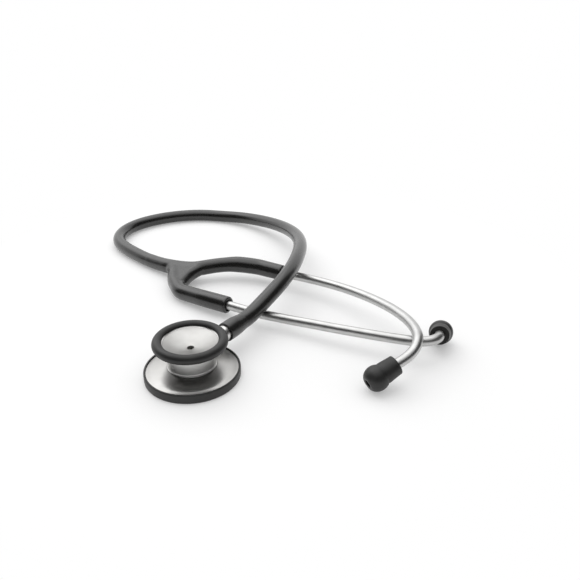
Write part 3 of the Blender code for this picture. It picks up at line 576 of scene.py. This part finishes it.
# %% [markdown]
# ## Steel ear tubes with Geometry Nodes
# Each ear tube is one bent length of steel tube. The rule is simple, a circle carried along a path, so a
# small Geometry Nodes tree makes both: it turns a line of points into a curve and sweeps the circle along
# it. The ends are closed, because they are hidden in the sleeve and in the tip.


# %% A tree that sweeps a round tube along a line
def sweep_tree():
    """Build the tree, with the line, the radius, the number of sides and the finish as inputs."""
    tree = bpy.data.node_groups.new("tube_along_line", "GeometryNodeTree")
    tree.interface.new_socket(name="Line", in_out="INPUT", socket_type="NodeSocketGeometry")
    tree.interface.new_socket(name="Radius", in_out="INPUT", socket_type="NodeSocketFloat")
    tree.interface.new_socket(name="Sides", in_out="INPUT", socket_type="NodeSocketInt")
    tree.interface.new_socket(name="Finish", in_out="INPUT", socket_type="NodeSocketMaterial")
    tree.interface.new_socket(name="Tube", in_out="OUTPUT", socket_type="NodeSocketGeometry")
    nodes, links = tree.nodes, tree.links
    entry = nodes.new("NodeGroupInput")
    leave = nodes.new("NodeGroupOutput")
    line = nodes.new("GeometryNodeMeshToCurve")
    circle = nodes.new("GeometryNodeCurvePrimitiveCircle")
    sweep = nodes.new("GeometryNodeCurveToMesh")
    sweep.inputs["Fill Caps"].default_value = True
    real = nodes.new("GeometryNodeRealizeInstances")
    paint = nodes.new("GeometryNodeSetMaterial")
    links.new(entry.outputs["Line"], line.inputs["Mesh"])
    links.new(entry.outputs["Radius"], circle.inputs["Radius"])
    links.new(entry.outputs["Sides"], circle.inputs["Resolution"])
    links.new(line.outputs["Curve"], sweep.inputs["Curve"])
    links.new(circle.outputs["Curve"], sweep.inputs["Profile Curve"])
    links.new(sweep.outputs["Mesh"], real.inputs["Geometry"])
    links.new(real.outputs["Geometry"], paint.inputs["Geometry"])
    links.new(entry.outputs["Finish"], paint.inputs["Material"])
    links.new(paint.outputs["Geometry"], leave.inputs["Tube"])
    return tree


SWEEP = sweep_tree()


def swept_tube(name, path, radius, material, sides=40):
    """Sweep a round tube along a path in mm and return it as a plain mesh object."""
    mesh = bpy.data.meshes.new(name)
    points = [tuple(spot * MM) for spot in path]
    mesh.from_pydata(points, [(i, i + 1) for i in range(len(points) - 1)], [])
    tube = add_object(name, mesh)
    change = tube.modifiers.new("sweep", "NODES")
    change.node_group = SWEEP
    values = {"Radius": radius * MM, "Sides": sides, "Finish": material}
    for item in SWEEP.interface.items_tree:
        if item.in_out == "INPUT" and item.name in values:
            change[item.identifier] = values[item.name]
    return plain_mesh(tube)


# %% Routes of the sleeves and the ear tubes
SIDES = ("left", "right")
MOUTH = {"left": np.array((43.6, 97.4, 9.4)), "right": np.array((12.6, 59.3, 7.0))}
SLEEVE_AXIS = {"left": np.array((0.866, -0.5, 0.0)), "right": np.array((0.86, -0.51, 0.02))}
TIP = {"left": np.array((98.5, -7.5, 11.1)), "right": np.array((125.1, 19.4, 11.0))}
TIP_AXIS = {"left": np.array((-0.82, -0.43, -0.35)), "right": np.array((0.29, 0.88, -0.36))}
BENDS = {
    "left": [(54.0, 91.4, 9.7), (63.3, 85.5, 10.2), (72.1, 78.8, 10.9), (80.6, 71.0, 11.8),
             (88.6, 61.8, 13.0), (96.0, 51.5, 14.3), (102.5, 40.5, 15.6), (107.6, 29.0, 16.7),
             (110.8, 17.2, 17.3), (111.0, 6.8, 16.6), (107.6, -0.8, 14.6), (102.6, -5.2, 12.6)],
    "right": [(27.5, 50.6, 7.2), (39.9, 44.9, 7.4), (48.2, 41.1, 7.7), (59.1, 36.2, 8.2),
              (69.6, 31.2, 8.8), (79.8, 26.5, 9.4), (89.7, 22.0, 10.0), (99.4, 17.8, 10.6),
              (107.0, 14.9, 11.0), (114.0, 12.8, 11.5), (119.6, 12.9, 12.0), (123.2, 15.2, 12.1)],
}
for side in SIDES:
    SLEEVE_AXIS[side] = SLEEVE_AXIS[side] / np.linalg.norm(SLEEVE_AXIS[side])
    TIP_AXIS[side] = TIP_AXIS[side] / np.linalg.norm(TIP_AXIS[side])
    print(side, "sleeve to tip", round(float(np.linalg.norm(TIP[side] - MOUTH[side])), 1), "mm")

# %% Sweep the two ear tubes
SLEEVE_DEPTH = 15.0
TIP_DEPTH = 7.3
EAR_TUBE_RADIUS = 2.65
EAR_TUBE_SPACING = 0.8


def sleeve_line(side, shares):
    """Points on the axis of a sleeve, as shares of its depth back from the mouth."""
    return [MOUTH[side] - SLEEVE_AXIS[side] * SLEEVE_DEPTH * share for share in shares]


for side in SIDES:
    inside = sleeve_line(side, (1.0, 0.6, 0.3, 0.0, -0.2))
    held = [TIP[side] + TIP_AXIS[side] * TIP_DEPTH * share for share in (-0.15, 0.15, 0.4, 0.7, 1.0)]
    path = even_path([*inside, *BENDS[side], *held], EAR_TUBE_SPACING)
    tube = swept_tube(side + "_steel_tube", path, EAR_TUBE_RADIUS, tube_steel)
    dress(tube, tube_steel, side + "_ear", side + "_ear_tube", 50.0)

# %% [markdown]
# ## Ear tips
# A soft rubber ball with a collar pushes onto the threaded end of each tube. The ball is flattened where the
# sound hole opens, and the collar swells towards it. A ball could be sculpted, but an outline that is spun
# about the tip's own axis keeps the wall and the hole true.

# %% Spin the ear tips
BALL_RADIUS = 6.4
BALL_AT = 11.7
BALL_REACH = 5.9
TIP_HOLE = 2.0
tip_outline = [(2.75, 0.0, 0.1), (4.95, 0.0, 0.35), (5.05, 2.0, 0.6), (5.3, 5.2, 1.2), (5.45, 7.5, 0.6)]
for angle in np.linspace(-38.0, 62.0, 14):
    turn = math.radians(angle)
    tip_outline.append((BALL_RADIUS * math.cos(turn) ** 0.8, BALL_AT + BALL_REACH * math.sin(turn)))
tip_outline += [(2.8, 16.9, 0.35), (TIP_HOLE, 16.8, 0.25), (TIP_HOLE, 7.6), (3.85, 7.6), (3.85, 0.28),
                (2.75, 0.28)]
for side in SIDES:
    place = axis_place(TIP[side], TIP_AXIS[side])
    tip = add_object(side + "_rubber_tip", mesh_from(turned(tip_outline, place, 96), side + "_rubber_tip"))
    dress(tip, matt_rubber, side + "_ear", side + "_ear_tip", 50.0)

# %% [markdown]
# ## Yoke and arms
# The yoke and both arms are one soft moulding on the real object, with a web across the crotch. The three
# tubes and the web are merged by a voxel remesh and smoothed, which gives the flowing fillets of a dipped
# moulding. The result is then parted at the arm roots, where the real arms bend.


# %% Rough solids for the moulding
def add_hose(shape, path, radii, sides=28):
    """Add a closed round hose along a path, with a radius at each point."""
    tangents = np.gradient(path, axis=0)
    side = np.cross(tangents[0], (0.0, 0.0, 1.0))
    loops = []
    for spot, tangent, radius in zip(path, tangents, radii):
        tangent = tangent / np.linalg.norm(tangent)
        side = side - tangent * np.dot(side, tangent)
        side = side / np.linalg.norm(side)
        up = np.cross(side, tangent)
        ring = []
        for index in range(sides):
            turn = math.tau * index / sides
            spoke = math.cos(turn) * side + math.sin(turn) * up
            ring.append(shape.verts.new((spot + radius * spoke) * MM))
        loops.append(ring)
    made = [shape.faces.new(loops[0]), shape.faces.new(list(reversed(loops[-1])))]
    for first, second in zip(loops, loops[1:]):
        for index in range(sides):
            after = (index + 1) % sides
            made.append(shape.faces.new((first[index], second[index], second[after], first[after])))
    bmesh.ops.recalc_face_normals(shape, faces=made)


YOKE_INLET = (-43.0, 124.0, 4.9)
YOKE_SLOPE = (0.153, 0.07)


def yoke_point(x, y):
    """A point on the sloping plane in which the yoke lies."""
    along_x = YOKE_SLOPE[0] * (x - YOKE_INLET[0])
    along_y = YOKE_SLOPE[1] * (y - YOKE_INLET[1])
    return np.array((x, y, YOKE_INLET[2] + along_x + along_y))


# %% Routes of the yoke and the arms
HINGE = {"left": yoke_point(-13.0, 106.3), "right": yoke_point(-21.5, 86.5)}
ARM = {
    "left": [(-4.0, 107.7, 9.1), (4.5, 109.1, 9.7), (12.5, 109.5, 9.9), (22.6, 107.7, 9.7)],
    "right": [(-18.4, 80.3, 5.4), (-13.6, 76.4, 5.6), (-8.0, 72.3, 6.1)],
}
ROOT = {
    "left": [(-43.0, 124.0), (-37.8, 119.7), (-33.0, 116.0), (-28.2, 112.9), (-23.4, 110.2), (-18.4, 107.9)],
    "right": [(-29.0, 112.8), (-26.2, 106.0), (-25.0, 99.0), (-23.8, 92.5)],
}
LEAD = {"left": [np.array((-49.8, 129.7, 4.7)), np.array((-46.3, 126.7, 4.8))], "right": []}
SWELL = {"left": ((0.0, 4.5, 9.0, 18.0, 23.0, 49.0, 55.0, 64.0, 72.0, 88.0, 104.0),
                  (4.2, 4.57, 4.66, 4.66, 4.85, 4.85, 4.78, 4.8, 5.25, 5.15, 4.95)),
         "right": ((0.0, 9.0, 14.0, 40.0, 58.0), (4.5, 4.5, 4.85, 4.85, 5.05))}
CROTCH = [(-3.0, 107.9), (-7.5, 106.7), (-12.2, 103.2), (-16.0, 98.9), (-18.6, 93.4), (-20.6, 87.6)]
print("routes:", {side: len(ROOT[side]) + len(ARM[side]) + 1 for side in SIDES}, "points")

# %% Hoses and web of the moulding
RING_SPACING = 1.2
WEB_HALF = 4.2
moulding = bmesh.new()
for side in SIDES:
    straight = sleeve_line(side, (1.15, 0.9, 0.6, 0.3, 0.0))
    line = [*LEAD[side], *[yoke_point(x, y) for x, y in ROOT[side]], HINGE[side], *ARM[side], *straight]
    path = even_path(line, RING_SPACING)
    radii = np.interp(travelled(path), *SWELL[side])
    add_hose(moulding, path, radii)
crotch_path = even_path([yoke_point(x, y) for x, y in CROTCH], RING_SPACING)
along = np.linspace(0.0, 1.0, len(crotch_path))
add_hose(moulding, crotch_path, np.interp(along, (0.0, 0.3, 0.8, 1.0), (3.4, 4.3, 4.4, 4.4)))
web_line = [(-30.0, 113.0), (-23.4, 110.0), (-13.5, 105.5), (-15.5, 99.0), (-18.0, 93.0), (-21.5, 88.5),
            (-25.0, 99.0), (-27.4, 108.0)]
up = np.array((-YOKE_SLOPE[0], -YOKE_SLOPE[1], 1.0))
up = up / np.linalg.norm(up)
low = [moulding.verts.new((yoke_point(x, y) - up * WEB_HALF) * MM) for x, y in web_line]
high = [moulding.verts.new((yoke_point(x, y) + up * WEB_HALF) * MM) for x, y in web_line]
web_faces = [moulding.faces.new(low), moulding.faces.new(high)]
for index in range(len(web_line)):
    after = (index + 1) % len(web_line)
    web_faces.append(moulding.faces.new((low[index], low[after], high[after], high[index])))
bmesh.ops.recalc_face_normals(moulding, faces=web_faces)
rough = bpy.data.meshes.new("moulding")
moulding.to_mesh(rough)
moulding.free()
print("rough faces", len(rough.polygons))

# %% Merge, smooth and bore the moulding
VOXEL = 0.0005
SMOOTHINGS = 24
BORE = 2.8
MOUTH_BORE = 3.6
whole = add_object("moulding", rough)
merge = whole.modifiers.new("merge", "REMESH")
merge.mode = "VOXEL"
merge.voxel_size = VOXEL
flow = whole.modifiers.new("flow", "SMOOTH")
flow.factor = 0.5
flow.iterations = SMOOTHINGS
plain_mesh(whole)
holes = []
for side in SIDES:
    place = axis_place(MOUTH[side], SLEEVE_AXIS[side])
    holes += [(BORE, -16.0, 2.0, place), (MOUTH_BORE, -1.3, 2.0, place)]
bored(whole, holes)
print("moulding faces", len(whole.data.polygons))


# %% Part the moulding at the arm roots
def part_off(shape, centre, normal, reach):
    """Score a loop round one arm and return its edges."""
    near = [face for face in shape.faces if (face.calc_center_median() - centre).length < reach]
    geometry = set(near)
    for face in near:
        geometry.update(face.verts)
        geometry.update(face.edges)
    cut = bmesh.ops.bisect_plane(shape, geom=list(geometry), plane_co=centre, plane_no=normal, dist=1e-7)
    return {item for item in cut["geom_cut"] if isinstance(item, bmesh.types.BMEdge)}


def flood(start, fence):
    """Faces that can be reached from one face without crossing the fence."""
    found = {start}
    front = [start]
    while front:
        face = front.pop()
        for edge in face.edges:
            if edge in fence:
                continue
            for other in edge.link_faces:
                if other not in found:
                    found.add(other)
                    front.append(other)
    return found


scored = bmesh.new()
scored.from_mesh(whole.data)
CUT = {"left": Vector((-6.5, 107.2, 8.9)) * MM, "right": Vector((-19.8, 83.0, 5.5)) * MM}
CUT_AXIS = {"left": Vector((0.99, 0.1, 0.06)), "right": Vector((0.45, -0.89, 0.0))}
CUT_REACH = 0.0075
WELL_INSIDE = 8.0
fence = set()
for side in SIDES:
    fence |= part_off(scored, CUT[side], CUT_AXIS[side], CUT_REACH)
area = scored.faces.layers.int.new("area")
for number, side in ((1, "left"), (2, "right")):
    goal = Vector(MOUTH[side] - SLEEVE_AXIS[side] * WELL_INSIDE) * MM
    seed = min(scored.faces, key=lambda face: (face.calc_center_median() - goal).length)
    for face in flood(seed, fence):
        face[area] = number
counts = [sum(1 for face in scored.faces if face[area] == number) for number in (0, 1, 2)]
print("faces in yoke, left and right:", counts)

# %% Close the three pieces and tie them to their bodies
PIECES = ((0, "yoke_moulding", "yoke"), (1, "left_sleeve", "left_arm"), (2, "right_sleeve", "right_arm"))
for number, name, node in PIECES:
    shape = scored.copy()
    layer = shape.faces.layers.int["area"]
    bmesh.ops.delete(shape, geom=[face for face in shape.faces if face[layer] != number], context="FACES")
    rims = [edge for edge in shape.edges if edge.is_boundary]
    bmesh.ops.holes_fill(shape, edges=rims)
    melt_slivers(shape)
    piece = add_object(name, bpy.data.meshes.new(name))
    shape.to_mesh(piece.data)
    shape.free()
    dress(piece, satin_pvc, None if number else "tube_and_yoke", node, 55.0)
scored.free()
bpy.data.objects.remove(whole)
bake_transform(bpy.data.objects["left_sleeve"])
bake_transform(bpy.data.objects["right_sleeve"])

# %% [markdown]
# ## Hidden pieces
# The click ball, its spring and screw, the seal, the leaf spring and the threaded ends are small and mostly
# out of sight, so the solids of the frame stay and only take a proper finish.

# %% Finish the small pieces
small = {"detent_ball": drum_steel, "detent_spring": drum_steel, "detent_screw": drum_steel,
         "stem_o_ring": matt_rubber, "binaural_spring": drum_steel, "left_tip_ferrule": thread_brass,
         "right_tip_ferrule": thread_brass}
for node, material in small.items():
    solid = bpy.data.objects[node]
    solid.data.materials.clear()
    solid.data.materials.append(material)
print("small pieces:", len(small))

# %% [markdown]
# ## Table and light
# The photograph is a cut-out on white, with broad soft light from above and from behind on the left, and a
# bright table that throws light back up. Near the object the table is mostly matt white, so it keeps the
# shadow, and it fades to plain white further out. The camera sees that fade, and so do mirror rays, so metal
# shows it too.


# %% White table
def shown_to_eye(nodes, links):
    """One for rays from the camera, off a mirror or through glass, and zero for rays that gather light."""
    ray = nodes.new("ShaderNodeLightPath")
    total = ray.outputs["Is Camera Ray"]
    for kind in ("Is Glossy Ray", "Is Transmission Ray"):
        either = nodes.new("ShaderNodeMath")
        either.operation = "ADD"
        either.use_clamp = True
        links.new(total, either.inputs[0])
        links.new(ray.outputs[kind], either.inputs[1])
        total = either.outputs["Value"]
    return total


MIDDLE = (0.03, 0.09, 0.0)
TABLE_HALF = 3.0
TABLE_DROP = 0.0001
FADE_FROM = 0.14
FADE_TO = 0.21
OWN_WHITE = 0.25
table_shape = bmesh.new()
bmesh.ops.create_grid(table_shape, x_segments=1, y_segments=1, size=TABLE_HALF)
table = add_object("table", mesh_from(table_shape, "table"))
table.location = (0.0, 0.0, -TABLE_DROP)
paper = bpy.data.materials.new("white_table")
paper.use_nodes = True
nodes, links = paper.node_tree.nodes, paper.node_tree.links
matt = nodes["Principled BSDF"]
matt.inputs["Base Color"].default_value = (0.95, 0.95, 0.95, 1.0)
matt.inputs["Roughness"].default_value = 0.9
matt.inputs["Specular IOR Level"].default_value = 0.0
white = nodes.new("ShaderNodeEmission")
white.inputs["Color"].default_value = (1.0, 1.0, 1.0, 1.0)
place = nodes.new("ShaderNodeTexCoord")
away = nodes.new("ShaderNodeVectorMath")
away.operation = "DISTANCE"
away.inputs[1].default_value = MIDDLE
fade = nodes.new("ShaderNodeMapRange")
fade.inputs["From Min"].default_value = FADE_FROM
fade.inputs["From Max"].default_value = FADE_TO
fade.inputs["To Min"].default_value = OWN_WHITE
only_seen = nodes.new("ShaderNodeMath")
only_seen.operation = "MULTIPLY"
blend = nodes.new("ShaderNodeMixShader")
links.new(place.outputs["Object"], away.inputs[0])
links.new(away.outputs["Value"], fade.inputs["Value"])
links.new(fade.outputs["Result"], only_seen.inputs[0])
links.new(shown_to_eye(nodes, links), only_seen.inputs[1])
links.new(only_seen.outputs["Value"], blend.inputs["Fac"])
links.new(matt.outputs["BSDF"], blend.inputs[1])
links.new(white.outputs["Emission"], blend.inputs[2])
links.new(blend.outputs["Shader"], nodes["Material Output"].inputs["Surface"])
table.data.materials.append(paper)
print("table is", 2 * TABLE_HALF, "m wide")


# %% Soft lights
def soft_light(name, place, aim, shape, size, radiance):
    """An area light that is as bright as it looks from the object, whatever its size."""
    data = bpy.data.lights.new(name, "AREA")
    data.shape = shape
    data.size = size
    area = math.pi * size ** 2 / 4 if shape == "DISK" else size ** 2
    data.energy = radiance * math.pi * area
    lamp = bpy.data.objects.new(name, data)
    lamp.location = place
    lamp.rotation_euler = (Vector(aim) - Vector(place)).to_track_quat("-Z", "Y").to_euler()
    bpy.context.scene.collection.objects.link(lamp)
    print(name, "power", round(data.energy, 2), "W")


soft_light("overhead_box", (-0.14, 0.36, 0.80), (0.0, 0.14, 0.0), "SQUARE", 1.0, 0.95)
soft_light("key_left", (-0.50, 0.62, 0.66), (0.02, 0.09, 0.0), "DISK", 0.8, 0.65)

# %% [markdown]
# ## The room
# The backdrop is plain white to the camera, in mirrors and through glass, and one even grey fills the
# shadows. On the camera's side a studio hangs a dark curtain, so that shiny round things get a dark line
# along them. Only mirror rays meet it here: it takes no light from the object and is never in the picture.

# %% World
world = bpy.data.worlds.new("studio")
bpy.context.scene.world = world
world.use_nodes = True
nodes, links = world.node_tree.nodes, world.node_tree.links
fill = nodes["Background"]
fill.inputs["Color"].default_value = (0.80, 0.80, 0.80, 1.0)
backdrop = nodes.new("ShaderNodeBackground")
backdrop.inputs["Color"].default_value = (1.0, 1.0, 1.0, 1.0)
seen_white = nodes.new("ShaderNodeMixShader")
links.new(shown_to_eye(nodes, links), seen_white.inputs["Fac"])
links.new(fill.outputs["Background"], seen_white.inputs[1])
links.new(backdrop.outputs["Background"], seen_white.inputs[2])
links.new(seen_white.outputs["Shader"], nodes["World Output"].inputs["Surface"])
bpy.context.scene.view_settings.view_transform = "Standard"
print("world", world.name, "with fill", round(fill.inputs["Color"].default_value[0], 2))

# %% Dark curtain on the camera's side
CURTAIN_CENTRE = Vector(MIDDLE)
CURTAIN_RADIUS = 1.1
CURTAIN_RISE = Vector((0.0, 0.0, 1.4))
CURTAIN_ENDS = (-188.0, 40.0)
CURTAIN_POSTS = 33
curtain_shape = bmesh.new()
posts = []
for angle in np.linspace(*CURTAIN_ENDS, CURTAIN_POSTS):
    turn = math.radians(angle)
    foot = CURTAIN_CENTRE + CURTAIN_RADIUS * Vector((math.cos(turn), math.sin(turn), 0.0))
    posts.append((curtain_shape.verts.new(foot), curtain_shape.verts.new(foot + CURTAIN_RISE)))
for (foot, head), (next_foot, next_head) in zip(posts, posts[1:]):
    curtain_shape.faces.new((foot, next_foot, next_head, head))
curtain = add_object("dark_curtain", mesh_from(curtain_shape, "dark_curtain"))
curtain.visible_camera = False
curtain.visible_diffuse = False
curtain.visible_shadow = False
felt = bpy.data.materials.new("dark_felt")
felt.use_nodes = True
pile = felt.node_tree.nodes["Principled BSDF"]
pile.inputs["Base Color"].default_value = (0.05, 0.05, 0.05, 1.0)
pile.inputs["Roughness"].default_value = 1.0
pile.inputs["Specular IOR Level"].default_value = 0.0
curtain.data.materials.append(felt)
print("curtain panels", len(curtain.data.polygons))
